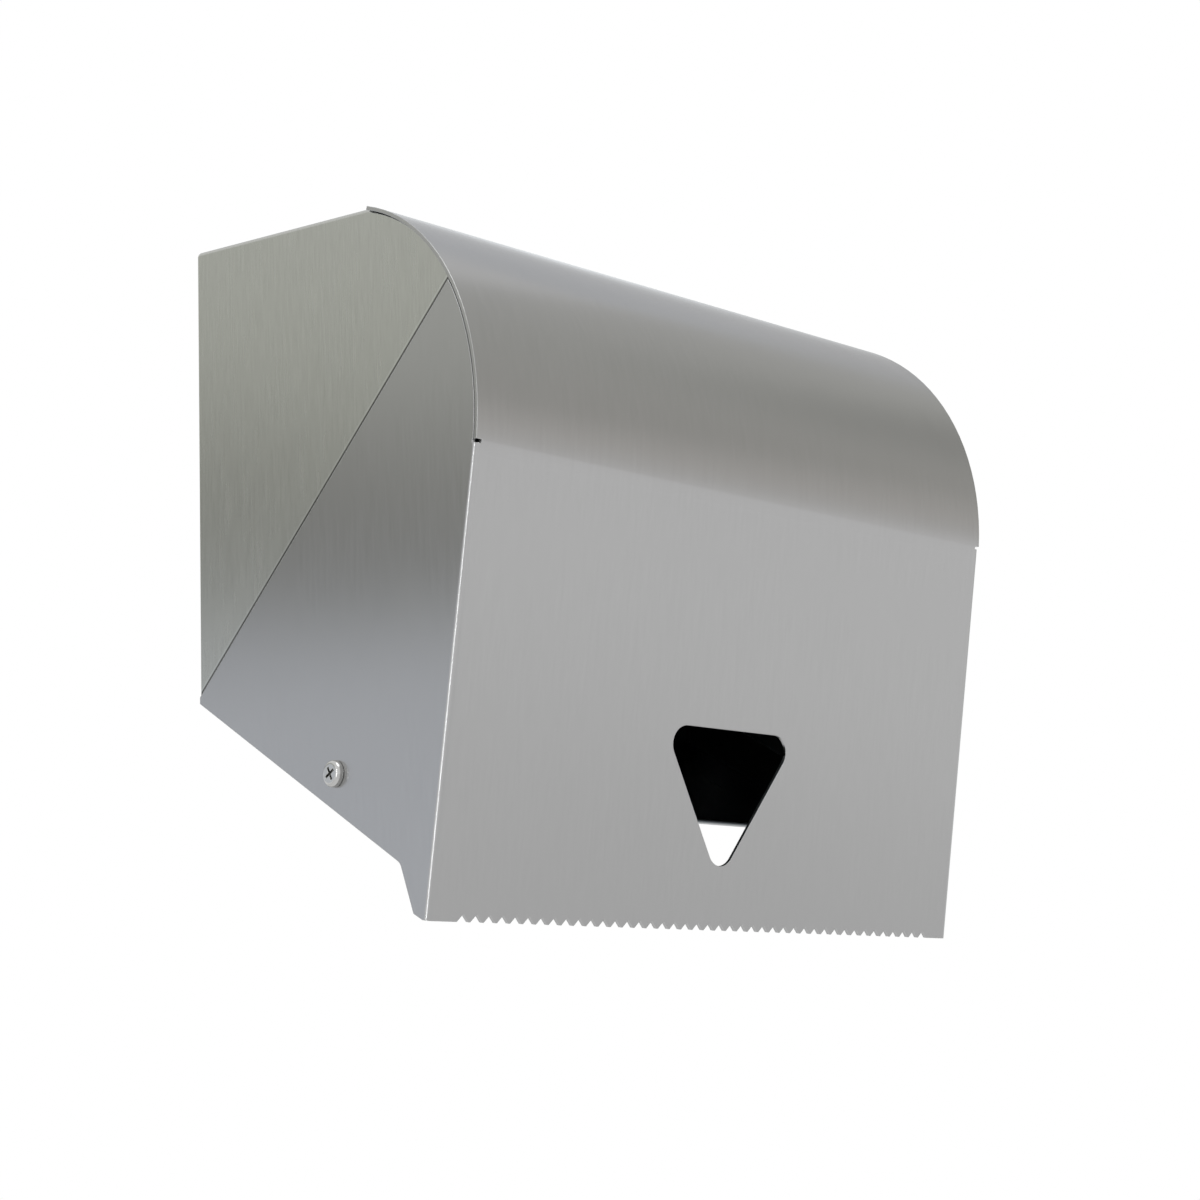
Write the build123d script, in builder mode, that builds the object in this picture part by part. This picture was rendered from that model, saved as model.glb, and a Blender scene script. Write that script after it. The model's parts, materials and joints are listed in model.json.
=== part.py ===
from build123d import *
import os
from math import sin, cos, tan, acos, atan2, sqrt, radians, degrees

# Lockable paper towel dispenser in stainless sheet, millimetres.
# X to the viewer's right, +Y into the wall, +Z up. The wall face is Y = 0 and
# the origin is the middle of the four wall holes.

# Overall size
width = 240.0
depth = 156.0
back_height = 164.0

# Side profile
top_slope = 10.0
front_lean = 12.3
wrap_radius = 85.0
wrap_proud = 2.0
seam_angle = 37.2
seam_inset = 2.5
lower_angle = 31.7
notch_reach = 12.3
notch_round = 4.0
nose_drop = 11.0
nose_width = 6.5
nose_lift = 2.8
tip_inset = 3.0
relief_height = 1.1
relief_rise = 3.7

# Sheet
sheet = 1.2
bend_radius = 1.8
crease_radius = 1.6
lap = 6.0
corner_cut = 3.5
corner_drop = 3.0

# Clearances
side_gap = 0.5
edge_gap = 0.4
joint_gap = 0.9
seat_gap = 0.1
running_gap = 0.05
float_gap = 0.15

# Cover pivots
pivot_reach = 43.9
pivot_lift = 10.4
shoulder_diameter = 5.0
screw_diameter = 4.0
screw_head_diameter = 8.6
screw_head_height = 2.3
screw_rim = 1.4
screw_tail = 1.2
recess_span = 4.6
recess_width = 1.0
recess_depth = 1.5
recess_taper = 8.0
recess_turn = 25.0
bush_wall = 0.75
bush_flange_lip = 1.2
bush_flange_height = 0.6
washer_diameter = 12.0
nut_flats = 7.0
nut_height = 3.4
insert_height = 1.4
insert_diameter = 6.4

# Viewing window
window_width = 63.0
window_height = 50.4
window_lift = 15.9
window_corner = 6.0

# Tear edge
tooth_margin = 10.0
tooth_pitch = 5.2
tooth_depth = 2.4

# Wall holes
wall_margin_x = 40.0
wall_margin_z = 32.0
wall_hole = 6.5

# Paper tray
tray_sheet = 0.8
tray_gap = 0.2
tray_lift = 3.7
knee_back = 2.3
shelf_length = 22.0
shelf_slope = 9.5
hem_length = 8.0
hem_rim = 0.7
rear_flange = 20.0
flange_height = 16.0
ear_reach = 8.5
rivet_count = 4
rivet_pitch = 60.0
rivet_diameter = 3.2
rivet_head_diameter = 6.0
rivet_head_height = 1.2
rivet_rim = 1.0
rivet_sink_diameter = 5.0
rivet_height = 12.0

# Rest strip and bumpers under the front edge of the top
strip_sheet = 1.0
strip_width = 10.0
strip_reach = 12.0
strip_side = 3.0
strip_notch = 30.0
bumper_inset = 36.0
bumper_clear = 0.3
bumper_diameter = 9.0
bumper_height = 1.3
bumper_rim = 0.4
bumper_stem = 4.0
bumper_bulb = 5.6
bumper_bulb_height = 2.5
bumper_taper = 12.0

# Lock
lock_setback = 25.0
lock_thread = 15.8
lock_flange_lip = 1.6
lock_flange_height = 2.0
lock_flange_rim = 0.7
lock_depth = 14.0
lock_washer_lip = 2.1
lock_washer_height = 0.7
lock_nut_wall = 3.1
lock_nut_height = 3.0
plug_diameter = 10.0
plug_recess = 0.5
keyway_length = 6.4
keyway_width = 1.3
keyway_depth = 9.0
cam_sheet = 1.6
cam_width = 11.0
cam_hub = 16.0
cam_hook = 6.0
cam_stud = 6.0
cam_screw_diameter = 3.0
cam_screw_head = 6.0
cam_screw_head_height = 2.0
cam_screw_rim = 0.9
cam_screw_length = 8.0
cam_recess_span = 3.6
cam_recess_width = 0.8
cam_recess_depth = 1.0
cam_washer_diameter = 9.0
cam_washer_height = 0.6

# Keeper inside the rolled front
keeper_sheet = 1.2
keeper_width = 14.0
keeper_inset = 3.0
keeper_leaf = 14.0
keeper_clear = 1.0
keeper_gap = 0.8

# Points and lines of the side profile, as (Y, Z)
slope = radians(top_slope)
lean = radians(front_lean)
seam = radians(seam_angle)
lower = radians(lower_angle)
top_z = back_height / 2
bottom_z = -back_height / 2
roll_y = -(depth - wrap_radius)
roll_z = top_z + roll_y * tan(slope) - (wrap_radius - wrap_proud) / cos(slope)
joint_angle = 90 - top_slope - degrees(acos((wrap_radius - wrap_proud) / wrap_radius))
relief_angle = -front_lean + degrees(relief_rise / wrap_radius)
half = width / 2
plate_x = half - sheet - side_gap


def on_roll(radius, angle):
    # point of the rolled front, by angle from straight ahead towards the top
    turn = radians(angle)
    return (roll_y - radius * cos(turn), roll_z + radius * sin(turn))


def on_top(distance, rise=0.0):
    # point of the flat top, by distance from its back corner along the slope
    y = -distance * cos(slope) - rise * sin(slope)
    z = top_z - distance * sin(slope) + rise * cos(slope)
    return (y, z)


def down_front(distance, inset=0.0):
    # point of the front panel, by distance below the roll and depth into the sheet
    start_y, start_z = on_roll(wrap_radius, -front_lean)
    y = start_y + distance * sin(lean) + inset * cos(lean)
    z = start_z - distance * cos(lean) + inset * sin(lean)
    return (y, z)


def on_lower(y, lift=0.0):
    # point of the sloping underside at depth y, lifted square to the slope
    return (y, bottom_z + y * tan(lower) + lift / cos(lower))


def on_seam(radius):
    # where the side seam meets the roll
    start_y = -seam_inset - roll_y
    start_z = bottom_z - roll_z
    along = start_z * sin(seam) - start_y * cos(seam)
    step = sqrt(along**2 + radius**2 - start_y**2 - start_z**2) - along
    return (-seam_inset - step * cos(seam), bottom_z + step * sin(seam))


def roll_angle(point):
    # angle of a point about the roll's centre, from straight ahead towards the top
    return degrees(atan2(point[1] - roll_z, roll_y - point[0]))


def rise_on_roll(distance, radius):
    # height over the flat top's plane of the roll at a distance along the top
    return sqrt(radius**2 - (distance - roll_distance) ** 2) - (wrap_radius - wrap_proud)


def roll_band(inner, outer, low, high):
    # outline of a curved band of the roll between two angles
    middle = (low + high) / 2
    ThreePointArc(on_roll(outer, low), on_roll(outer, middle), on_roll(outer, high))
    Line(on_roll(outer, high), on_roll(inner, high))
    ThreePointArc(on_roll(inner, high), on_roll(inner, middle), on_roll(inner, low))
    Line(on_roll(inner, low), on_roll(outer, low))


def sheet_section(points, thickness):
    # outline of a folded sheet, from one skin's points and the thickness to its left
    runs = [atan2(b[1] - a[1], b[0] - a[0]) for a, b in zip(points, points[1:])]
    skin = []
    for point, before, after in zip(points, [runs[0]] + runs, runs + [runs[-1]]):
        middle = (before + after) / 2
        reach = thickness / cos((after - before) / 2)
        skin.append((point[0] - reach * sin(middle), point[1] + reach * cos(middle)))
    return points + skin[::-1]


def edges_where(part, test):
    # edges whose middle point passes the test
    return [edge for edge in part.edges() if test(edge.position_at(0.5))]


def is_at(point, place):
    # whether a point's Y and Z are those of a place on the side profile
    return abs(point.Y - place[0]) < 0.01 and abs(point.Z - place[1]) < 0.01


def from_front(point):
    # distance of a point inside the front panel's outer plane
    foot_y, foot_z = down_front(0)
    return (point.Y - foot_y) * cos(lean) + (point.Z - foot_z) * sin(lean)


def from_top(point):
    # distance of a point under the plane of the flat top
    return (top_z - point.Z) * cos(slope) + point.Y * sin(slope)


def from_roll(point):
    # distance of a point from the roll's centre line
    return sqrt((point.Y - roll_y) ** 2 + (point.Z - roll_z) ** 2)


# Places where the pieces meet, all worked out from the sizes above
roll_distance = -roll_y / cos(slope) + (wrap_radius - wrap_proud) * tan(slope)
joint_distance = roll_distance + sqrt(wrap_radius**2 - (wrap_radius - wrap_proud) ** 2)
half_joint = degrees(joint_gap / 2 / wrap_radius)
wrap_inside = wrap_radius - sheet
edge_radius = wrap_inside - edge_gap
cheek_in = half - sheet
plate_in = plate_x - sheet
flange_x = plate_in - tray_gap
nut_x = flange_x - tray_sheet
face_y, face_z = down_front(0)
front_length = (face_z - bottom_z - face_y * tan(lower) + nose_drop) / (
    cos(lean) + sin(lean) * tan(lower)
)
foot = down_front(front_length)
pivot = on_lower(foot[0] + pivot_reach, pivot_lift)
tooth_count = int((width - 2 * tooth_margin) / tooth_pitch)
wall_pitch_x = width - 2 * wall_margin_x
wall_pitch_z = back_height - 2 * wall_margin_z
lock_place = on_top(joint_distance - lock_setback)
front_plane = Plane(
    origin=(0, *down_front(0)), x_dir=(1, 0, 0), z_dir=(0, -cos(lean), -sin(lean))
)
lock_plane = Plane(
    origin=(0, *lock_place), x_dir=(1, 0, 0), z_dir=(0, -sin(slope), cos(slope))
)
tray_back = -(sheet + tray_gap)
tray_bend = on_lower(tray_back, tray_lift)
tray_knee = on_lower(pivot[0] + knee_back, tray_lift)
shelf = radians(shelf_slope)
tray_lip = (
    tray_knee[0] - shelf_length * cos(shelf),
    tray_knee[1] - shelf_length * sin(shelf),
)
rivet_z = tray_bend[1] + rivet_height
bush_diameter = shoulder_diameter + 2 * (running_gap + bush_wall)
lip_radius = wrap_inside - bumper_height - bumper_clear
lip_angle = joint_angle - degrees(strip_reach / 2 / lip_radius)


def pivot_plane(side, distance):
    # plane across a pivot's axis at a distance from the middle, facing outwards
    return Plane(origin=(side * distance, *pivot), x_dir=(0, 1, 0), z_dir=(side, 0, 0))


def lip_plane(side, radius):
    # plane on a rest strip's curved lip, facing away from the roll's centre
    turn = radians(lip_angle)
    return Plane(
        origin=(side * (half - bumper_inset), *on_roll(radius, lip_angle)),
        x_dir=(1, 0, 0),
        z_dir=(0, -cos(turn), sin(turn)),
    )


def save(part, name):
    # name the piece and write it as its own file
    part.label = name
    export_step(part, "parts/" + name + ".step")


os.makedirs("parts", exist_ok=True)

# Rear housing: wall sheet, sloping top and two side plates folded from one sheet
with BuildPart() as housing_hollow:
    with BuildSketch(Plane.YZ):
        with BuildLine():
            inner_back = (-sheet, top_z - (sheet + sheet * sin(slope)) / cos(slope))
            far = (-2 * depth, inner_back[1] - (2 * depth - sheet) * tan(slope))
            Polyline(inner_back, far, (far[0], -2 * depth), (-sheet, -2 * depth), close=True)
        make_face()
    extrude(amount=plate_in, both=True)
    crown = edges_where(housing_hollow, lambda p: is_at(p, inner_back))
    fillet(crown, radius=bend_radius - sheet)
    sides = edges_where(
        housing_hollow,
        lambda p: abs(p.X) > plate_in - 0.01
        and (abs(p.Y + sheet) < 0.01 or p.Y > -bend_radius or abs(from_top(p) - sheet) < 0.01),
    )
    fillet(sides, radius=crease_radius - sheet)

with BuildPart() as rear_housing:
    with BuildSketch(Plane.YZ):
        with BuildLine():
            top_front = on_top(joint_distance - joint_gap / 2)
            arc_top = on_roll(edge_radius, joint_angle)
            lap_start = on_seam(edge_radius)
            arc_end = on_roll(edge_radius, roll_angle(lap_start) - degrees(lap / edge_radius))
            arc_middle = on_roll(edge_radius, (joint_angle + roll_angle(arc_end)) / 2)
            lap_foot = (-seam_inset - lap - corner_cut, 0)
            lap_fall = (arc_end[0] - lap_foot[0]) * tan(seam)
            lap_foot = (lap_foot[0], arc_end[1] + lap_fall)
            corner_low = (-corner_cut, bottom_z - corner_drop)
            corner_high = (0, bottom_z + corner_cut)
            Polyline(corner_low, corner_high, (0, top_z), top_front, arc_top)
            ThreePointArc(arc_top, arc_middle, arc_end)
            Polyline(arc_end, lap_foot, corner_low)
        make_face()
    extrude(amount=plate_x, both=True)
    crown = edges_where(rear_housing, lambda p: is_at(p, (0, top_z)))
    fillet(crown, radius=bend_radius)
    sides = edges_where(
        rear_housing,
        lambda p: abs(p.X) > plate_x - 0.01
        and p.Z > corner_high[1]
        and (abs(p.Y) < 0.01 or p.Y > -bend_radius or abs(from_top(p)) < 0.01),
    )
    fillet(sides, radius=crease_radius)
    add(housing_hollow.part, mode=Mode.SUBTRACT)
    with BuildSketch(Plane.XZ):
        with GridLocations(wall_pitch_x, wall_pitch_z, 2, 2):
            Circle(wall_hole / 2)
    extrude(amount=sheet, both=True, mode=Mode.SUBTRACT)
    with Locations(Plane.XZ):
        with Locations((0, rivet_z)):
            with GridLocations(rivet_pitch, 0, rivet_count, 1):
                CounterSinkHole(
                    rivet_diameter / 2 + running_gap,
                    rivet_sink_diameter / 2 + running_gap,
                    depth=sheet,
                )
    with BuildSketch(lock_plane):
        Circle(lock_thread / 2 + float_gap)
    extrude(amount=sheet * 2, both=True, mode=Mode.SUBTRACT)
save(rear_housing.part, "rear_housing")

# Front cover: roll, front panel and bent-back cheeks in one sheet
with BuildPart() as cover_hollow:
    with BuildSketch(Plane.YZ):
        with BuildLine():
            high = on_roll(wrap_inside, joint_angle)
            low = on_roll(wrap_inside, -front_lean)
            deep = down_front(front_length + bend_radius, sheet)
            ThreePointArc(high, on_roll(wrap_inside, (joint_angle - front_lean) / 2), low)
            Polyline(low, deep, (depth, deep[1]), (depth, high[1]), high)
        make_face()
    extrude(amount=cheek_in, both=True)
    corners = edges_where(
        cover_hollow,
        lambda p: abs(p.X) > cheek_in - 0.01
        and (abs(from_front(p) - sheet) < 0.01 or abs(from_roll(p) - wrap_inside) < 0.01),
    )
    fillet(corners, radius=bend_radius - sheet)

with BuildPart() as front_cover:
    with BuildSketch(Plane.YZ):
        with BuildLine():
            seam_top = on_seam(edge_radius)
            cheek_top = on_roll(edge_radius, relief_angle)
            bend_top = on_roll(wrap_radius, relief_angle)
            cheek_middle = on_roll(edge_radius, (roll_angle(seam_top) + relief_angle) / 2)
            bend_middle = on_roll(wrap_radius, (relief_angle - front_lean) / 2)
            panel_top = on_roll(wrap_radius, -front_lean)
            notch = on_lower(foot[0] + notch_reach)
            nose_back = (foot[0] + nose_width, foot[1] + nose_lift)
            tip_low = on_lower(-tip_inset)
            tip_high = (-tip_inset, bottom_z + (tip_inset - seam_inset) * tan(seam))
            ThreePointArc(seam_top, cheek_middle, cheek_top)
            Line(cheek_top, bend_top)
            ThreePointArc(bend_top, bend_middle, panel_top)
            Polyline(panel_top, foot, down_front(front_length, 2 * sheet), nose_back, notch)
            Polyline(notch, tip_low, tip_high, seam_top)
        make_face()
    extrude(amount=half, both=True)
    corners = edges_where(
        front_cover,
        lambda p: abs(p.X) > half - 0.01
        and (abs(from_front(p)) < 0.01 or abs(from_roll(p) - wrap_radius) < 0.01),
    )
    fillet(corners, radius=bend_radius)
    fillet(edges_where(front_cover, lambda p: is_at(p, notch)), radius=notch_round)
    add(cover_hollow.part, mode=Mode.SUBTRACT)
    with BuildSketch(Plane.YZ):
        with BuildLine():
            roll_band(edge_radius - bend_radius, wrap_radius, relief_angle, joint_angle)
        make_face()
    extrude(amount=cheek_in, both=True, mode=Mode.SUBTRACT)
    with BuildSketch(Plane.YZ):
        with BuildLine():
            roll_band(wrap_inside, wrap_radius, relief_angle, joint_angle - half_joint)
        make_face()
    extrude(amount=half, both=True)
    relief_turn = degrees(relief_height / 2 / wrap_radius)
    for side in (-1, 1):
        with BuildSketch(Plane.YZ.offset(side * half)):
            with BuildLine():
                roll_band(
                    edge_radius - edge_gap,
                    wrap_radius + edge_gap,
                    relief_angle - relief_turn,
                    relief_angle + relief_turn,
                )
            make_face()
        extrude(amount=-side * (bend_radius + edge_gap), mode=Mode.SUBTRACT)
    with BuildSketch(front_plane):
        with BuildLine():
            window_low = (0, window_lift - front_length)
            window_top = window_low[1] + window_height
            window_left = (-window_width / 2, window_top)
            window_right = (window_width / 2, window_top)
            Polyline(window_left, window_right, window_low, close=True)
        make_face()
        fillet(vertices(), radius=window_corner)
    extrude(amount=2 * sheet, both=True, mode=Mode.SUBTRACT)
    with BuildSketch(front_plane):
        with Locations((0, -front_length)):
            with GridLocations(tooth_pitch, 0, tooth_count, 1):
                Polygon(
                    (-tooth_pitch / 2, -edge_gap),
                    (tooth_pitch / 2, -edge_gap),
                    (0, tooth_depth),
                    align=None,
                )
    extrude(amount=2 * sheet, both=True, mode=Mode.SUBTRACT)
    with BuildSketch(Plane.YZ):
        with Locations(pivot):
            Circle(bush_diameter / 2 + running_gap / 2)
    extrude(amount=width, both=True, mode=Mode.SUBTRACT)
save(front_cover.part, "front_cover")

# Rest strips: the cover's top edge closes down on their curved lips
for side, name in ((-1, "left"), (1, "right")):
    with BuildPart() as rest_strip:
        strip_in = strip_notch / 2
        strip_out = plate_in - strip_side
        under = sheet + seat_gap
        crossing = roll_distance + sqrt(
            lip_radius**2 - (wrap_radius - wrap_proud - under) ** 2
        )
        leaf = [
            on_top(crossing, -under - strip_sheet),
            on_top(crossing - strip_width, -under - strip_sheet),
            on_top(crossing - strip_width, -under),
            on_top(crossing, -under),
        ]
        with BuildSketch(Plane.YZ.offset(side * strip_in)):
            with BuildLine():
                Polyline(*leaf, close=True)
            make_face()
            with BuildLine():
                roll_band(
                    lip_radius - strip_sheet,
                    lip_radius,
                    joint_angle - degrees(strip_reach / lip_radius),
                    roll_angle(on_top(crossing, -under)),
                )
            make_face()
        extrude(amount=side * (strip_out - strip_in))
        with BuildSketch(lip_plane(side, lip_radius)):
            Circle(bumper_stem / 2 + running_gap)
        extrude(amount=2 * strip_sheet, both=True, mode=Mode.SUBTRACT)
    save(rest_strip.part, "rest_strip_" + name)

    with BuildPart() as bumper:
        with BuildSketch(lip_plane(side, lip_radius)):
            Circle(bumper_diameter / 2)
        extrude(amount=bumper_height)
        rim = edges_where(bumper, lambda p: from_roll(p) > lip_radius + bumper_height / 2)
        fillet(rim, radius=bumper_rim)
        with BuildSketch(lip_plane(side, lip_radius)):
            Circle(bumper_stem / 2)
        extrude(amount=-(strip_sheet + seat_gap))
        with BuildSketch(lip_plane(side, lip_radius - strip_sheet - seat_gap)):
            Circle(bumper_bulb / 2)
        extrude(amount=-bumper_bulb_height, taper=bumper_taper)
    save(bumper.part, "bumper_" + name)

# Paper tray: sloping floor, hemmed front shelf, riveted rear flange, two side flanges
with BuildPart() as paper_tray:
    hem_back = (
        tray_lip[0] + hem_length * cos(shelf),
        tray_lip[1] + hem_length * sin(shelf),
    )
    flange_top = (tray_back, tray_bend[1] + rear_flange)
    with BuildSketch(Plane.YZ):
        with BuildLine():
            skin = [tray_lip, tray_knee, tray_bend, flange_top]
            Polyline(*sheet_section(skin, tray_sheet), close=True)
        make_face()
        with BuildLine():
            Polyline(*sheet_section([tray_lip, hem_back], 2 * tray_sheet), close=True)
        make_face()
    extrude(amount=flange_x, both=True)
    lip_edges = edges_where(paper_tray, lambda p: p.Y < tray_lip[0] + tray_sheet)
    fillet([edge for edge in lip_edges if edge.length > half], radius=hem_rim)
    for side in (-1, 1):
        with BuildSketch(Plane.YZ.offset(side * flange_x)) as ear:
            with BuildLine():
                ear_y = pivot[0] - ear_reach
                ear_back = (ear_y, tray_knee[1] + (ear_y - tray_knee[0]) * tan(shelf))
                ear_high = on_lower(ear_y, tray_lift + flange_height)
                rear_high = on_lower(tray_back, tray_lift + flange_height)
                Polyline(tray_bend, tray_knee, ear_back, ear_high, rear_high, close=True)
            make_face()
            fillet(ear.vertices().group_by(Axis.Z)[-1], radius=crease_radius)
        extrude(amount=-side * tray_sheet)
    with BuildSketch(Plane.YZ):
        with Locations(pivot):
            Circle(screw_diameter / 2 + running_gap)
    extrude(amount=width, both=True, mode=Mode.SUBTRACT)
    with BuildSketch(Plane.XZ.offset(-tray_back)):
        with Locations((0, rivet_z)):
            with GridLocations(rivet_pitch, 0, rivet_count, 1):
                Circle(rivet_diameter / 2 + running_gap)
    extrude(amount=2 * tray_sheet, both=True, mode=Mode.SUBTRACT)
save(paper_tray.part, "paper_tray")

# Tray rivets: countersunk flush with the wall face, domed inside
with BuildPart() as tray_rivets:
    rivet_seat = sheet + tray_gap + tray_sheet
    with BuildSketch(Plane.XZ):
        with Locations((0, rivet_z)):
            with GridLocations(rivet_pitch, 0, rivet_count, 1):
                Circle(rivet_diameter / 2)
    extrude(amount=rivet_seat)
    with BuildSketch(Plane.XZ):
        with Locations((0, rivet_z)):
            with GridLocations(rivet_pitch, 0, rivet_count, 1):
                Circle(rivet_sink_diameter / 2)
    extrude(amount=(rivet_sink_diameter - rivet_diameter) / 2, taper=45)
    with BuildSketch(Plane.XZ.offset(rivet_seat)):
        with Locations((0, rivet_z)):
            with GridLocations(rivet_pitch, 0, rivet_count, 1):
                Circle(rivet_head_diameter / 2)
    extrude(amount=rivet_head_height)
    dome = rivet_seat + rivet_head_height
    fillet(edges_where(tray_rivets, lambda p: -p.Y > dome - 0.01), radius=rivet_rim)
save(tray_rivets.part, "tray_rivets")

# Pivots: shoulder screw, bush in the cheek, friction washer and lock nut on each side
for side, name in ((-1, "left"), (1, "right")):
    seat = half + float_gap
    nut_end = nut_x - nut_height - insert_height
    with BuildPart() as pivot_screw:
        with BuildSketch(pivot_plane(side, seat)):
            Circle(screw_head_diameter / 2)
        extrude(amount=screw_head_height)
        rim = edges_where(
            pivot_screw, lambda p: abs(p.X) > seat + screw_head_height - 0.01
        )
        fillet(rim, radius=screw_rim)
        with BuildSketch(pivot_plane(side, seat + screw_head_height)):
            Rectangle(recess_span, recess_width, rotation=recess_turn)
            Rectangle(recess_width, recess_span, rotation=recess_turn)
        extrude(amount=-recess_depth, taper=recess_taper, mode=Mode.SUBTRACT)
        with BuildSketch(pivot_plane(side, flange_x)):
            Circle(shoulder_diameter / 2)
        extrude(amount=seat - flange_x)
        with BuildSketch(pivot_plane(side, flange_x)):
            Circle(screw_diameter / 2)
        extrude(amount=-(flange_x - nut_end + screw_tail))
    save(pivot_screw.part, "pivot_screw_" + name)

    with BuildPart() as pivot_bush:
        with BuildSketch(pivot_plane(side, cheek_in - bush_flange_height)):
            Circle(bush_diameter / 2 + bush_flange_lip)
        extrude(amount=bush_flange_height)
        with BuildSketch(pivot_plane(side, cheek_in)):
            Circle(bush_diameter / 2)
        extrude(amount=sheet)
        with BuildSketch(pivot_plane(side, cheek_in - bush_flange_height)):
            Circle(shoulder_diameter / 2 + running_gap)
        extrude(amount=bush_flange_height + sheet, mode=Mode.SUBTRACT)
    save(pivot_bush.part, "pivot_bush_" + name)

    with BuildPart() as friction_washer:
        washer_space = cheek_in - bush_flange_height - flange_x
        with BuildSketch(pivot_plane(side, flange_x + float_gap)):
            Circle(washer_diameter / 2)
            Circle(shoulder_diameter / 2 + running_gap, mode=Mode.SUBTRACT)
        extrude(amount=washer_space - 2 * float_gap)
    save(friction_washer.part, "friction_washer_" + name)

    with BuildPart() as lock_nut:
        with BuildSketch(pivot_plane(side, nut_x)):
            RegularPolygon(nut_flats / 2, 6, major_radius=False)
        extrude(amount=-nut_height)
        with BuildSketch(pivot_plane(side, nut_x - nut_height)):
            Circle(nut_flats / 2)
        extrude(amount=-insert_height)
        with BuildSketch(pivot_plane(side, nut_x)):
            Circle(screw_diameter / 2 + running_gap)
        extrude(amount=-(nut_height + insert_height), mode=Mode.SUBTRACT)
        with BuildSketch(pivot_plane(side, nut_x - nut_height)):
            Circle(insert_diameter / 2)
        extrude(amount=-insert_height, mode=Mode.SUBTRACT)
    save(lock_nut.part, "lock_nut_" + name)

    with BuildPart() as nut_insert:
        with BuildSketch(pivot_plane(side, nut_x - nut_height)):
            Circle(insert_diameter / 2 - running_gap)
            Circle(screw_diameter / 2 + running_gap, mode=Mode.SUBTRACT)
        extrude(amount=-insert_height)
    save(nut_insert.part, "nut_insert_" + name)

# Lock body: flanged barrel through the flat top
with BuildPart() as lock_body:
    with BuildSketch(lock_plane):
        Circle(lock_thread / 2 + lock_flange_lip)
    extrude(amount=lock_flange_height)
    rim = edges_where(lock_body, lambda p: -from_top(p) > lock_flange_height - 0.01)
    fillet(rim, radius=lock_flange_rim)
    with BuildSketch(lock_plane):
        Circle(lock_thread / 2)
    extrude(amount=-lock_depth)
    with BuildSketch(lock_plane.offset(-lock_depth)):
        Circle(plug_diameter / 2 + running_gap)
    extrude(amount=lock_depth + lock_flange_height, mode=Mode.SUBTRACT)
save(lock_body.part, "lock_body")

with BuildPart() as lock_washer:
    with BuildSketch(lock_plane.offset(-sheet - seat_gap)):
        Circle(lock_thread / 2 + lock_washer_lip)
        Circle(lock_thread / 2 + running_gap, mode=Mode.SUBTRACT)
    extrude(amount=-lock_washer_height)
save(lock_washer.part, "lock_washer")

with BuildPart() as lock_ring_nut:
    with BuildSketch(lock_plane.offset(-sheet - 2 * seat_gap - lock_washer_height)):
        RegularPolygon(lock_thread / 2 + lock_nut_wall, 6, major_radius=False)
        Circle(lock_thread / 2 + running_gap, mode=Mode.SUBTRACT)
    extrude(amount=-lock_nut_height)
save(lock_ring_nut.part, "lock_ring_nut")

# Plug with its keyway, and the square stud that carries the cam
plug_end = lock_depth + float_gap
stud_end = plug_end + seat_gap + cam_sheet
with BuildPart() as lock_plug:
    with BuildSketch(lock_plane.offset(-plug_end)):
        Circle(plug_diameter / 2)
    extrude(amount=plug_end + lock_flange_height - plug_recess)
    with BuildSketch(lock_plane.offset(-stud_end)):
        Rectangle(cam_stud, cam_stud)
    extrude(amount=stud_end - plug_end)
    with BuildSketch(lock_plane.offset(lock_flange_height - plug_recess)):
        Rectangle(keyway_length, keyway_width)
    extrude(amount=-keyway_depth, mode=Mode.SUBTRACT)
    with BuildSketch(lock_plane.offset(-stud_end)):
        Circle(cam_screw_diameter / 2 + running_gap)
    extrude(amount=cam_screw_length - cam_sheet, mode=Mode.SUBTRACT)
save(lock_plug.part, "lock_plug")

# Hooked cam, shown turned clear of the keeper
hook_inner = lock_setback + keeper_inset + keeper_sheet + keeper_gap
with BuildPart() as lock_cam:
    cam_top = plug_end + seat_gap
    with BuildSketch(lock_plane.offset(-cam_top)):
        Circle(cam_hub / 2)
        with Locations((-(hook_inner + cam_sheet) / 2, 0)):
            Rectangle(hook_inner + cam_sheet, cam_width)
        Rectangle(cam_stud + 2 * running_gap, cam_stud + 2 * running_gap, mode=Mode.SUBTRACT)
    extrude(amount=-cam_sheet)
    with BuildSketch(lock_plane.offset(-cam_top)):
        with Locations((-hook_inner - cam_sheet / 2, 0)):
            Rectangle(cam_sheet, cam_width)
    extrude(amount=cam_hook)
save(lock_cam.part, "lock_cam")

with BuildPart() as cam_washer:
    with BuildSketch(lock_plane.offset(-stud_end - seat_gap)):
        Circle(cam_washer_diameter / 2)
        Circle(cam_screw_diameter / 2 + running_gap, mode=Mode.SUBTRACT)
    extrude(amount=-cam_washer_height)
save(cam_washer.part, "cam_washer")

with BuildPart() as cam_screw:
    head_top = stud_end + 2 * seat_gap + cam_washer_height
    with BuildSketch(lock_plane.offset(-head_top)):
        Circle(cam_screw_head / 2)
    extrude(amount=-cam_screw_head_height)
    rim = edges_where(
        cam_screw, lambda p: from_top(p) > head_top + cam_screw_head_height - 0.01
    )
    fillet(rim, radius=cam_screw_rim)
    with BuildSketch(lock_plane.offset(-head_top - cam_screw_head_height)):
        Rectangle(cam_recess_span, cam_recess_width)
        Rectangle(cam_recess_width, cam_recess_span)
    extrude(amount=cam_recess_depth, mode=Mode.SUBTRACT)
    with BuildSketch(lock_plane.offset(-head_top)):
        Circle(cam_screw_diameter / 2)
    extrude(amount=cam_screw_length - cam_sheet)
save(cam_screw.part, "cam_screw")

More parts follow.
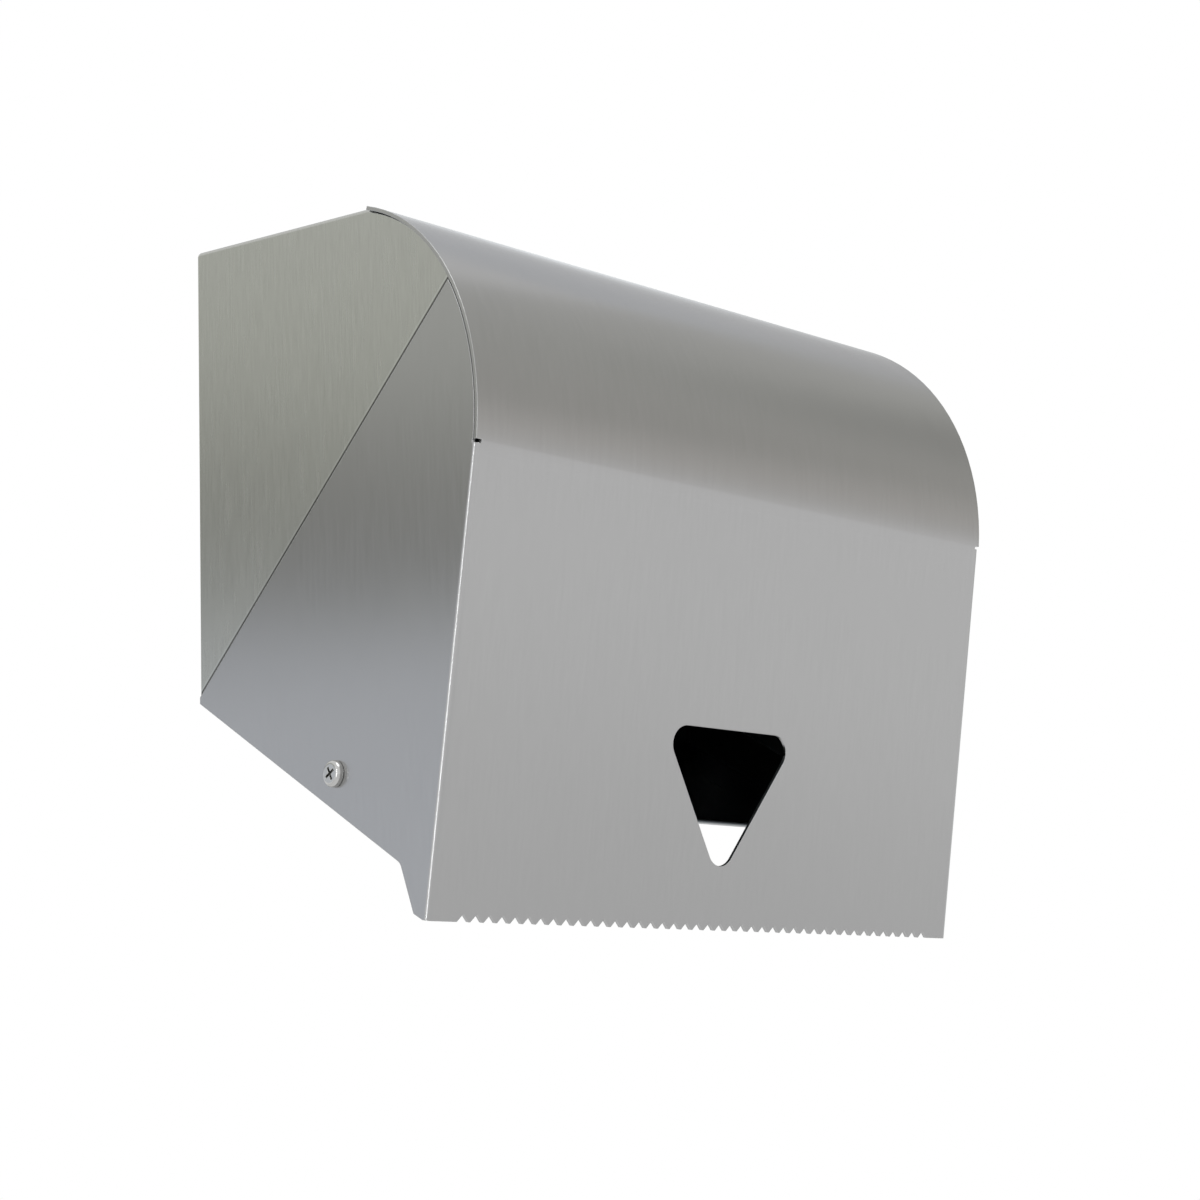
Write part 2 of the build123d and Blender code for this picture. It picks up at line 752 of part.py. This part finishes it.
# Keeper: curved leaf inside the roll and the tab that the cam hooks behind
with BuildPart() as keeper:
    leaf_out = wrap_inside - seat_gap
    leaf_in = leaf_out - keeper_sheet
    tab_back = joint_distance + keeper_inset
    tab_front = tab_back + keeper_sheet
    leaf_middle = (leaf_in + leaf_out) / 2
    keeper_drop = lock_depth - keeper_clear
    with BuildSketch(Plane.YZ):
        with BuildLine():
            leaf_high = roll_angle(on_top(tab_back, rise_on_roll(tab_back, leaf_middle)))
            leaf_low = leaf_high - degrees(keeper_leaf / leaf_in)
            roll_band(leaf_in, leaf_out, leaf_low, leaf_high)
        make_face()
        with BuildLine():
            Polyline(
                on_top(tab_back, rise_on_roll(tab_back, leaf_middle)),
                on_top(tab_front, rise_on_roll(tab_front, leaf_middle)),
                on_top(tab_front, -keeper_drop),
                on_top(tab_back, -keeper_drop),
                close=True,
            )
        make_face()
    extrude(amount=keeper_width / 2, both=True)
save(keeper.part, "keeper")
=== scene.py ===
import json
import math
import bpy
from mathutils import Matrix, Vector

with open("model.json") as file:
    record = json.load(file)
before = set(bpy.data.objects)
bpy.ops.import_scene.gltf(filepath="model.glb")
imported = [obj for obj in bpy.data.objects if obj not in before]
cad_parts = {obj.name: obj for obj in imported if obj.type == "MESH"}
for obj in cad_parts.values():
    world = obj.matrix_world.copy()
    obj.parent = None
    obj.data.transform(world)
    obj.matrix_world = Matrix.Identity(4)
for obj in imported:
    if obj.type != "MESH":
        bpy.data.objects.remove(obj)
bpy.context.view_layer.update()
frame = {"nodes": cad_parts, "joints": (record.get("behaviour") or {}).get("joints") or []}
nodes = frame["nodes"]
joints = {joint["name"]: joint for joint in frame["joints"]}

# Places on the dispenser, in metres, and directions through it
pivot = Vector(joints["cover_hinge"]["pos_m"])
pivot_axis = Vector(joints["cover_hinge"]["axis"])
lock = Vector(joints["cam_turn"]["pos_m"])
lock_axis = Vector(joints["cam_turn"]["axis"])
rivet_place = (0.03, 0.0, -0.0665)
rivet_axis = (0.0, 1.0, 0.0)
bumper_place = (0.0, -0.071, -0.015)
bumper_axis = (1.0, 0.0, 0.0)
hollow_centre = (0.0, -0.075, -0.01)

# Side seam: the cheek's edge slants up and forward from its foot, at this angle from level
seam_foot_y = -0.0025
seam_foot_z = -0.082
seam_angle = math.radians(37.2)

# Painted shade and painted highlight along the seam, by distance past the cheek's edge: a painted
# shadow line, then a thin painted highlight line
seam_shadow_start = (-0.0008, -0.0002)
seam_shadow_end = (0.0031, 0.0026)
seam_shadow_share = 0.85
seam_shadow_tone = (0.05, 0.05, 0.05)
seam_highlight_start = (0.0029, 0.0032)
seam_highlight_end = (0.0038, 0.0035)
seam_highlight_share = 0.30
seam_highlight_tone = (0.62, 0.64, 0.62)

# Brushed sheet: strokes per metre across and along the brushing, and lengths in metres
fine_strokes = (1150.0, 80.0)
coarse_strokes = (620.0, 36.0)
cloud_scale = 16.0
grain_depth = 0.00006
fine_share = 2.0
coarse_share = 0.4
sheet_rough_share = 0.35
anisotropy = 0.5
inside_roughness = 0.12

# Borders between two looks of the sheet: by sideways direction, by height for the painted shade on
# the upper sides, by inward reach for the painted shade inside
side_range = (0.6, 0.8)
upper_range = (-0.105, -0.055)
inside_range = (-0.030, -0.042)

# Small turned pieces: rings and mottling per metre, and lengths in metres
ring_scale = 2600.0
mottle_scale = 420.0
mottle_depth = 0.00005
mottle_strength = 0.18
mottle_share = 1.4
small_rough_share = 0.5

# Worn edges: radius in metres, then lowest and highest turn of the normal with the shares there
sheet_edge = 0.00035
sheet_wear = (0.02, 0.22, 0.0, 0.55)
worn_tone = (0.66, 0.67, 0.67)
small_edge = 0.0002
small_wear = (0.02, 0.25, 0.0, 0.35)
small_gain = 1.5
small_lift = 0.02

# Studio: what the cards and lamps face, the floor's size, height and glow, and the world's light
studio_centre = Vector((0.0, -0.075, -0.04))
floor_half = 14.0
floor_height = -1.25
near_floor = 3.0
far_floor = 12.0
near_glow = 0.32
far_glow = 0.50
world_light = 0.62

# Camera at the photograph's viewing angle: lens and film in millimetres, place in metres
camera_lens = 68.15
camera_film = 36.0
camera_place = (-0.53868, -0.65465, -0.23370)
camera_ahead = (0.66384, 0.71188, 0.22923)
camera_right = (0.73811, -0.67300, -0.04753)


# Shader helpers
class Tree:
    """A short way to write node trees: each call adds nodes and gives back what comes out."""

    def __init__(self, owner):
        owner.use_nodes = True
        self.tree = owner.node_tree
        self.tree.nodes.clear()

    def add(self, kind, inputs=(), out=0, **settings):
        made = self.tree.nodes.new(kind)
        for key, value in settings.items():
            setattr(made, key, value)
        pairs = inputs.items() if isinstance(inputs, dict) else enumerate(inputs)
        for key, value in pairs:
            if isinstance(value, bpy.types.NodeSocket):
                self.tree.links.new(value, made.inputs[key])
            else:
                made.inputs[key].default_value = value
        return made.outputs[out]

    def split(self, vector):
        made = self.tree.nodes.new("ShaderNodeSeparateXYZ")
        self.tree.links.new(vector, made.inputs[0])
        return made.outputs

    def math(self, operation, *values):
        return self.add("ShaderNodeMath", values, operation=operation)

    def times(self, product, *others):
        for value in others:
            product = self.math("MULTIPLY", product, value)
        return product

    def spread(self, noise, amount):
        # a noise value from 0 to 1, as a change about zero
        return self.times(self.math("SUBTRACT", noise, 0.5), amount)

    def vector(self, operation, *values, out=0):
        return self.add("ShaderNodeVectorMath", values, out=out, operation=operation)

    def smooth(self, value, low, high, to_low=0.0, to_high=1.0):
        return self.add(
            "ShaderNodeMapRange",
            (value, low, high, to_low, to_high),
            interpolation_type="SMOOTHSTEP",
        )

    def band(self, value, start, end):
        # 1 between two soft borders and 0 outside them
        return self.times(self.smooth(value, *end), self.smooth(value, *start))

    def noise(self, vector, scale, detail=2.0, rough=0.5):
        return self.add(
            "ShaderNodeTexNoise",
            {"Vector": vector, "Scale": scale, "Detail": detail, "Roughness": rough},
        )

    def blend(self, kind, factor, first, second):
        inputs = {0: factor, 6: first, 7: second}
        return self.add("ShaderNodeMix", inputs, out=2, data_type="RGBA", blend_type=kind)

    def mix(self, factor, first, second):
        return self.blend("MIX", factor, first, second)

    def scale(self, colour, factor):
        return self.blend("MULTIPLY", 1.0, colour, factor)

    def toned(self, colour, tone):
        # a colour made lighter or darker by a grey value about 1
        return self.scale(rgb(*colour), self.add("ShaderNodeCombineXYZ", (tone, tone, tone)))

    def worn_edge(self, radius):
        # the rounded normal, and how far it turns away from the flat one
        worn = self.add("ShaderNodeBevel", {"Radius": radius}, samples=6)
        turn = self.vector("DOT_PRODUCT", worn, self.add("ShaderNodeNewGeometry", out=1), out=1)
        return worn, self.math("SUBTRACT", 1.0, turn)

    def seen(self):
        # 1 where the camera sees this, straight, mirrored or through glass, and 0 for other light
        path = self.tree.nodes.new("ShaderNodeLightPath").outputs
        either = self.math("MAXIMUM", path["Is Camera Ray"], path["Is Glossy Ray"])
        return self.math("MAXIMUM", either, path["Is Transmission Ray"])

    def output(self, kind, shader):
        made = self.tree.nodes.new(kind)
        self.tree.links.new(shader, made.inputs[0])


def rgb(red, green, blue):
    return (red, green, blue, 1.0)


def brushed(name, colour, rough, grain, cloud, bump, inside=None, upper=1.0, painted_seam_shading=False):
    """Brushed stainless sheet: fine straight grain down the sheet, faint clouding, worn edges.

    The inside tone is painted shade on faces that look into the dispenser, upper is painted shade
    on the sides above their foot, and the seam flag paints a shadow line and a highlight line along
    the side seam.
    """
    material = bpy.data.materials.new(name)
    t = Tree(material)
    coords = t.tree.nodes.new("ShaderNodeTexCoord")
    place = coords.outputs["Object"]
    normal = coords.outputs["Normal"]
    at_x, at_y, at_z = t.split(place)
    side = t.smooth(t.math("ABSOLUTE", t.split(normal)[0]), *side_range)
    front = t.math("SUBTRACT", 1.0, side)
    across = t.math("ADD", t.times(at_x, front), t.times(at_y, side))
    along = t.times(at_y, front)

    def strokes(over, down):
        # coordinates that draw noise out into straight strokes
        parts = (t.times(across, over), t.times(at_z, down), t.times(along, down))
        return t.add("ShaderNodeCombineXYZ", parts)

    fine = t.noise(strokes(*fine_strokes), 1.0, detail=4.0, rough=0.65)
    coarse = t.noise(strokes(*coarse_strokes), 1.0, detail=2.0)
    clouds = t.noise(place, cloud_scale, detail=3.0)
    fine_change = t.spread(fine, grain * fine_share)
    tone = t.math("ADD", fine_change, t.spread(coarse, grain * coarse_share))
    tone = t.math("ADD", tone, t.spread(clouds, cloud))
    if upper != 1.0:
        # painted shade: the sides above their foot made darker by the upper share
        high = t.smooth(at_z, *upper_range)
        tone = t.math("ADD", tone, t.times(high, side, upper - 1.0))
    tint = t.toned(colour, t.math("ADD", tone, 1.0))
    worn, turn = t.worn_edge(sheet_edge)
    tint = t.mix(t.smooth(turn, *sheet_wear), tint, rgb(*worn_tone))
    if painted_seam_shading:
        # painted shadow line and thin painted highlight line along the side seam; distance past the
        # cheek's edge, square to the seam
        past = t.math(
            "ADD",
            t.times(t.math("SUBTRACT", at_y, seam_foot_y), math.sin(seam_angle)),
            t.times(t.math("SUBTRACT", at_z, seam_foot_z), math.cos(seam_angle)),
        )
        shadow_line = t.times(t.band(past, seam_shadow_start, seam_shadow_end), side, seam_shadow_share)
        # painted highlight: the thin light line beyond the painted shadow line
        light = t.times(t.band(past, seam_highlight_start, seam_highlight_end), side, seam_highlight_share)
        tint = t.mix(shadow_line, tint, rgb(*seam_shadow_tone))
        tint = t.mix(light, tint, rgb(*seam_highlight_tone))
    roughness = t.math("ADD", rough, t.spread(coarse, rough * sheet_rough_share))
    if inside:
        # painted shade: faces that look into the dispenser are darkened and tinted bluish, and also
        # made rougher
        out_from = t.vector("SUBTRACT", place, hollow_centre)
        outward = t.vector("DOT_PRODUCT", out_from, normal, out=1)
        inside_shade = t.smooth(outward, *inside_range)
        tint = t.mix(inside_shade, tint, t.scale(tint, rgb(*inside)))
        roughness = t.math("ADD", roughness, t.times(inside_shade, inside_roughness))
    relief = t.add(
        "ShaderNodeBump",
        {"Strength": bump, "Distance": grain_depth, "Height": fine, "Normal": worn},
    )
    shader = t.add(
        "ShaderNodeBsdfPrincipled",
        {
            "Base Color": tint,
            "Metallic": 1.0,
            "Roughness": roughness,
            "Anisotropic": anisotropy,
            "Normal": relief,
            "Tangent": t.add("ShaderNodeTangent", direction_type="RADIAL", axis="Z"),
        },
    )
    t.output("ShaderNodeOutputMaterial", shader)
    return material


def turned(name, colour, rough, centre, axis, metallic=1.0, spread=0.10):
    """A turned, plated or moulded small piece: fine rings about its axis, mottling, light edges."""
    material = bpy.data.materials.new(name)
    t = Tree(material)
    place = t.add("ShaderNodeTexCoord", out="Object")
    away = t.vector("SUBTRACT", place, centre)
    radial = t.vector("LENGTH", t.vector("CROSS_PRODUCT", away, axis), out=1)
    depth = t.vector("DOT_PRODUCT", away, axis, out=1)
    ring = t.add("ShaderNodeCombineXYZ", (t.times(radial, ring_scale), 0.0, depth))
    lines = t.noise(ring, 1.0, detail=2.0)
    mottle = t.noise(place, mottle_scale, detail=4.0)
    change = t.math("ADD", t.spread(lines, spread), t.spread(mottle, spread * mottle_share))
    tint = t.toned(colour, t.math("ADD", 1.0, change))
    worn, turn = t.worn_edge(small_edge)
    light = [min(1.0, value * small_gain + small_lift) for value in colour]
    tint = t.mix(t.smooth(turn, *small_wear), tint, rgb(*light))
    relief = t.add(
        "ShaderNodeBump",
        {"Strength": mottle_strength, "Distance": mottle_depth, "Height": mottle, "Normal": worn},
    )
    shader = t.add(
        "ShaderNodeBsdfPrincipled",
        {
            "Base Color": tint,
            "Metallic": metallic,
            "Roughness": t.math("ADD", rough, t.spread(mottle, rough * small_rough_share)),
            "Normal": relief,
        },
    )
    t.output("ShaderNodeOutputMaterial", shader)
    return material


def dress(material, *names):
    """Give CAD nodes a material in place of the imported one."""
    for name in names:
        if not nodes[name].material_slots:
            nodes[name].data.materials.append(material)
        for slot in nodes[name].material_slots:
            slot.material = material


# Materials of the sheet pieces
housing_steel = brushed(
    "housing_steel", (0.425, 0.43, 0.405), 0.26, grain=0.15, cloud=0.04, bump=0.16,
    inside=(0.86, 0.90, 0.93), painted_seam_shading=True,
)
cover_steel = brushed(
    "cover_steel", (0.42, 0.42, 0.42), 0.22, grain=0.045, cloud=0.03, bump=0.06,
    inside=(0.86, 0.90, 0.93), upper=0.90,
)
# painted shade: darker, bluish copies of the stainless sheet for the tray, rest strips and keeper,
# standing in for shade in the dispenser
tray_steel = brushed(
    "tray_steel", (0.20, 0.215, 0.225), 0.30, grain=0.08, cloud=0.06, bump=0.10,
)
shaded_strip_steel = brushed(
    "shaded_strip_steel", (0.26, 0.27, 0.27), 0.30, grain=0.08, cloud=0.06, bump=0.10,
)

# Materials of the small pieces
screw_steel = turned("screw_steel", (0.52, 0.52, 0.51), 0.20, pivot, pivot_axis)
nut_steel = turned("nut_steel", (0.50, 0.50, 0.48), 0.28, pivot, pivot_axis)
bush_brass = turned("bush_brass", (0.55, 0.40, 0.17), 0.24, pivot, pivot_axis)
rivet_steel = turned("rivet_steel", (0.50, 0.50, 0.49), 0.26, rivet_place, rivet_axis)
lock_chrome = turned("lock_chrome", (0.62, 0.63, 0.65), 0.10, lock, lock_axis, spread=0.05)
plug_chrome = turned("plug_chrome", (0.60, 0.60, 0.60), 0.16, lock, lock_axis, spread=0.08)
cam_zinc = turned("cam_zinc", (0.52, 0.51, 0.46), 0.30, lock, lock_axis, spread=0.16)
nylon = turned("nylon", (0.74, 0.72, 0.64), 0.42, pivot, pivot_axis, metallic=0.0, spread=0.06)
rubber = turned(
    "rubber", (0.028, 0.028, 0.030), 0.62, bumper_place, bumper_axis, metallic=0.0, spread=0.20,
)

# Which piece wears which material
dress(housing_steel, "rear_housing")
dress(cover_steel, "front_cover")
dress(tray_steel, "paper_tray")
dress(shaded_strip_steel, "rest_strip_left", "rest_strip_right", "keeper")
dress(rubber, "bumper_left", "bumper_right")
dress(rivet_steel, "tray_rivets")
dress(screw_steel, "pivot_screw_left", "pivot_screw_right")
dress(nut_steel, "lock_nut_left", "lock_nut_right")
dress(nylon, "friction_washer_left", "friction_washer_right", "nut_insert_left", "nut_insert_right")
dress(bush_brass, "pivot_bush_left", "pivot_bush_right")
dress(lock_chrome, "lock_body")
dress(plug_chrome, "lock_plug")
dress(cam_zinc, "lock_cam", "lock_ring_nut", "lock_washer", "cam_washer", "cam_screw")

# World: white to the camera and to what the metal mirrors, softer as a lamp
world = bpy.data.worlds.new("studio")
bpy.context.scene.world = world
t = Tree(world)
strength = t.math("ADD", world_light, t.times(t.seen(), 1.0 - world_light))
t.output(
    "ShaderNodeOutputWorld",
    t.add("ShaderNodeBackground", {"Color": rgb(1, 1, 1), "Strength": strength}),
)


def toward(direction, distance):
    # a place in the studio, by its direction and distance from the centre
    return studio_centre + Vector(direction).normalized() * distance


def standing(place, right, ahead):
    # where something stands whose local x runs right and whose local z runs backwards
    turn = Matrix((right, right.cross(ahead), -ahead)).transposed().to_4x4()
    return Matrix.Translation(place) @ turn


def rectangle(name, width, height, level=0.0):
    # a flat sheet about its own origin, at a level along its local z
    half_width = width / 2
    half_height = height / 2
    corners = [
        (-half_width, -half_height, level), (half_width, -half_height, level),
        (half_width, half_height, level), (-half_width, half_height, level),
    ]
    mesh = bpy.data.meshes.new(name)
    mesh.from_pydata(corners, [], [(0, 1, 2, 3)])
    made = bpy.data.objects.new(name, mesh)
    bpy.context.scene.collection.objects.link(made)
    return made


def card(name, centre, width, height, stops, spot=None):
    """A studio reflector that only the metal mirrors, shaded up its height, with one soft spot."""
    sheet = rectangle(name, width, height)
    look = (studio_centre - centre).normalized()
    right = look.cross(Vector((0, 0, 1))).normalized()
    sheet.matrix_world = standing(centre, right, look)
    material = bpy.data.materials.new(name)
    t = Tree(material)
    local = t.split(t.add("ShaderNodeTexCoord", out="Object"))
    across = t.math("DIVIDE", local[0], width)
    upward = t.math("DIVIDE", local[1], height)
    ramp = t.tree.nodes.new("ShaderNodeValToRGB")
    t.tree.links.new(t.math("ADD", 0.5, upward), ramp.inputs[0])
    while len(ramp.color_ramp.elements) < len(stops):
        ramp.color_ramp.elements.new(0.5)
    for element, (position, colour) in zip(ramp.color_ramp.elements, stops):
        element.position = position
        element.color = rgb(*colour)
    colour = ramp.outputs[0]
    if spot:
        (spot_x, spot_y), (reach_x, reach_y), level = spot
        away_x = t.math("DIVIDE", t.math("SUBTRACT", across, spot_x), reach_x)
        away_y = t.math("DIVIDE", t.math("SUBTRACT", upward, spot_y), reach_y)
        away = t.add("ShaderNodeCombineXYZ", (away_x, away_y, 0.0))
        share = t.smooth(t.vector("LENGTH", away, out=1), 1.0, 0.0)
        colour = t.mix(share, colour, t.scale(colour, rgb(*level)))
    shader = t.add("ShaderNodeEmission", {"Color": colour, "Strength": 1.0})
    t.output("ShaderNodeOutputMaterial", shader)
    sheet.data.materials.append(material)
    sheet.visible_camera = False
    sheet.visible_diffuse = False
    sheet.visible_transmission = False
    sheet.visible_shadow = False


# Floor, well below the wall-hung dispenser, a little brighter far off than close by
floor = rectangle("floor", 2 * floor_half, 2 * floor_half, floor_height)
floor_paint = bpy.data.materials.new("floor_paint")
t = Tree(floor_paint)
floor_reach = t.vector("LENGTH", t.add("ShaderNodeTexCoord", out="Object"), out=1)
glow = t.smooth(floor_reach, near_floor, far_floor, near_glow, far_glow)
t.output(
    "ShaderNodeOutputMaterial",
    t.add(
        "ShaderNodeBsdfPrincipled",
        {
            "Base Color": rgb(0.8, 0.8, 0.8),
            "Roughness": 0.9,
            "Specular IOR Level": 0.0,
            "Emission Color": rgb(1, 1, 1),
            "Emission Strength": t.times(t.seen(), glow),
        },
    ),
)
floor.data.materials.append(floor_paint)

# Reflectors: grey walls of the room that the brushed sheet mirrors softly
card(
    "card_left", toward((-0.56, 0.79, 0.24), 2.0), width=1.9, height=1.1,
    stops=[
        (0.00, (0.78, 0.81, 0.86)), (0.41, (0.78, 0.81, 0.86)), (0.465, (0.39, 0.39, 0.37)),
        (0.56, (0.40, 0.40, 0.37)), (0.72, (0.74, 0.75, 0.70)), (1.00, (0.80, 0.81, 0.77)),
    ],
)
card(
    "card_right", toward((0.72, -0.46, 0.52), 1.9), width=2.6, height=1.9,
    stops=[
        (0.00, (0.74, 0.73, 0.71)), (0.12, (0.71, 0.69, 0.66)), (0.32, (0.57, 0.56, 0.53)),
        (0.70, (0.60, 0.60, 0.57)), (1.00, (0.62, 0.62, 0.60)),
    ],
    spot=((0.14, 0.04), (0.24, 0.26), (0.76, 0.76, 0.76)),
)
card(
    "card_back", toward((0.760, 0.410, 0.504), 2.1), width=3.4, height=2.2,
    stops=[(0.00, (0.60, 0.60, 0.60)), (0.55, (0.62, 0.62, 0.62)), (1.00, (0.68, 0.70, 0.73))],
    spot=((0.175, -0.06), (0.215, 0.31), (2.10, 2.18, 2.24)),
)
card(
    "card_top", toward((0.60, 0.02, 0.80), 2.4), width=2.4, height=1.5,
    stops=[(0.0, (0.56, 0.56, 0.55))],
)


def lamp(name, centre, width, height, watts, colour=(1.0, 1.0, 1.0)):
    """A soft rectangular lamp that faces the studio's centre."""
    data = bpy.data.lights.new(name, "AREA")
    data.shape = "RECTANGLE"
    data.size = width
    data.size_y = height
    data.energy = watts
    data.color = colour
    holder = bpy.data.objects.new(name, data)
    bpy.context.scene.collection.objects.link(holder)
    holder.location = centre
    holder.rotation_euler = (studio_centre - centre).to_track_quat("-Z", "Y").to_euler()


# Lamps: a narrow upright strip on the left, and a wide one overhead
lamp(
    "lamp_left", toward((-0.97, -0.10, 0.0), 1.8), width=0.12, height=1.4, watts=4.2,
    colour=(0.97, 0.99, 1.0),
)
lamp("lamp_top", Vector((-0.3, -0.7, 1.7)), width=1.2, height=1.2, watts=9.0)

# Camera
camera_data = bpy.data.cameras.new("camera")
camera_data.lens = camera_lens
camera_data.sensor_width = camera_film
camera = bpy.data.objects.new("camera", camera_data)
bpy.context.scene.collection.objects.link(camera)
ahead = Vector(camera_ahead).normalized()
right = Vector(camera_right)
right = (right - ahead * right.dot(ahead)).normalized()
camera.matrix_world = standing(camera_place, right, ahead)
bpy.context.scene.camera = camera
bpy.context.scene.view_settings.view_transform = "Standard"
